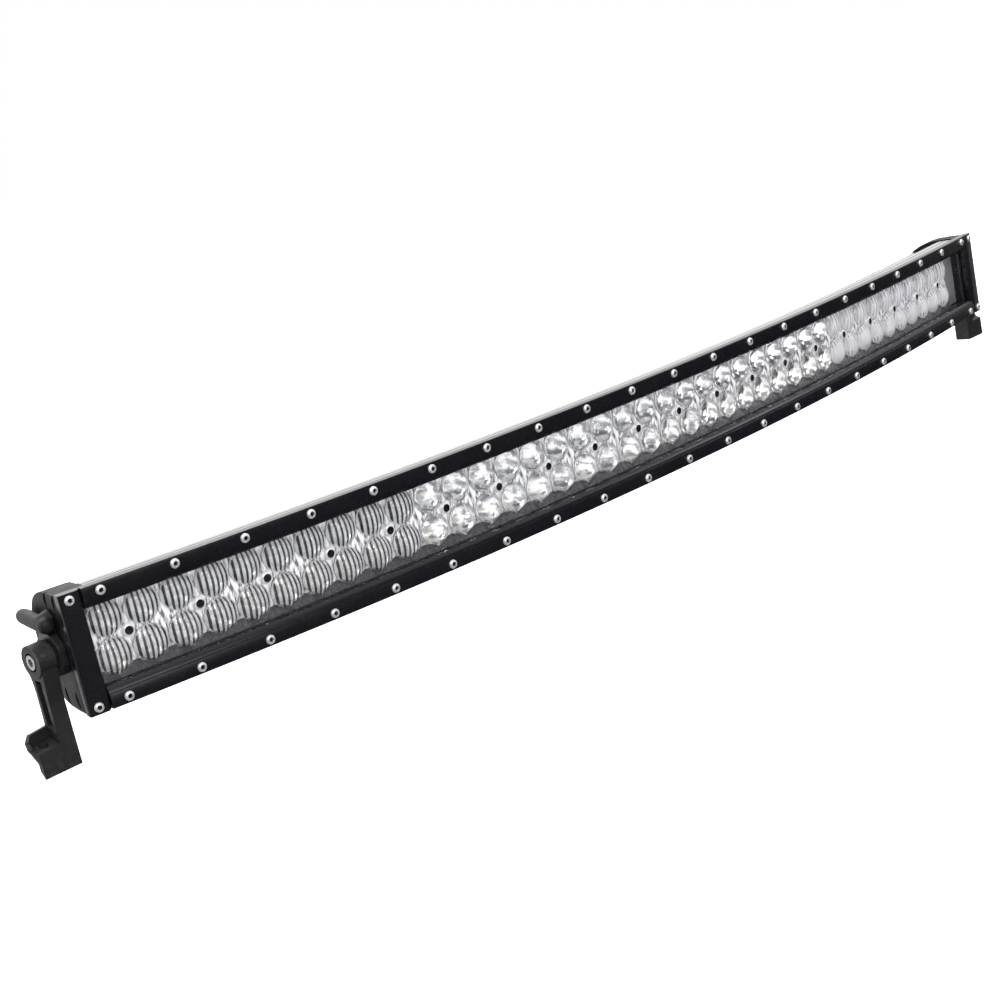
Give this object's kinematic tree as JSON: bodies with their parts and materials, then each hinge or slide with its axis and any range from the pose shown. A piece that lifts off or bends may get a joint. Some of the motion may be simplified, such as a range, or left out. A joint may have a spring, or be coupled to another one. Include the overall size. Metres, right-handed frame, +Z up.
{
  "type": "led light bar",
  "caption": "Curved double-row LED light bar with a finned housing, clear window, bezel and a tilting foot bracket at each end.",
  "frame": {"origin": "under the middle of the bar, on the plane that the two bracket feet stand on", "axes": "+X along the bar towards its right end as seen from the front, +Y from the window to the fins, +Z up; the light leaves along -Y"},
  "size_m": [1.1346, 0.1164, 0.1115],
  "materials": {
    "housing": "black anodised extrusion, satin",
    "end_cap": "black powder coat on a die casting",
    "bezel": "black paint, satin gloss",
    "bracket": "charcoal powder coat on a die casting, matte",
    "window": "clear polycarbonate",
    "gasket": "silicone, matte",
    "reflector": "vacuum-metallised plastic with clear lenses",
    "led_board": "white solder mask on an aluminium core",
    "driver": "green circuit board",
    "rubber": "moulded rubber, matte",
    "boss": "moulded black plastic",
    "stainless": "bright stainless steel"
  },
  "bodies": {
    "bar": {"bezel_strip_bottom": "bezel", "bezel_strip_top": "bezel", "breather_vent": "boss", "cable_boot": "rubber", "driver_board": "driver", "front_window": "window", "housing": "housing", "led_board_1": "led_board", "led_board_2": "led_board", "led_board_3": "led_board", "led_board_4": "led_board", "left_end_bezel": "bezel", "left_end_cap": "end_cap", "left_end_gasket": "gasket", "left_end_screw_bottom": "stainless", "left_end_screw_top": "stainless", "left_flat_washer": "stainless", "left_friction_washer": "rubber", "left_pivot_bolt": "stainless", "left_pivot_boss": "boss", "left_spring_washer": "stainless", "optic_module_01": "reflector", "optic_module_02": "reflector", "optic_module_03": "reflector", "optic_module_04": "reflector", "optic_module_05": "reflector", "optic_module_06": "reflector", "optic_module_07": "reflector", "optic_module_08": "reflector", "optic_module_09": "reflector", "optic_module_10": "reflector", "optic_module_11": "reflector", "optic_module_12": "reflector", "optic_module_13": "reflector", "optic_module_14": "reflector", "optic_module_15": "reflector", "optic_module_16": "reflector", "optic_module_17": "reflector", "optic_module_18": "reflector", "optic_module_19": "reflector", "optic_module_20": "reflector", "right_end_bezel": "bezel", "right_end_cap": "end_cap", "right_end_gasket": "gasket", "right_end_screw_bottom": "stainless", "right_end_screw_top": "stainless", "right_flat_washer": "stainless", "right_friction_washer": "rubber", "right_pivot_bolt": "stainless", "right_pivot_boss": "boss", "right_spring_washer": "stainless", "window_gasket": "gasket"},
    "left_bracket": {"left_bracket": "bracket"},
    "right_bracket": {"right_bracket": "bracket"}
  },
  "joints": [
    {"name": "left_bracket_tilt", "type": "hinge", "parent": "bar", "child": "left_bracket", "pos_m": [-0.5382, 0.0158, 0.0715], "axis": [1, 0, 0], "range_deg": [-90, 90]},
    {"name": "right_bracket_tilt", "type": "hinge", "parent": "bar", "child": "right_bracket", "pos_m": [0.5382, 0.0158, 0.0715], "axis": [1, 0, 0], "range_deg": [-90, 90]}
  ]
}
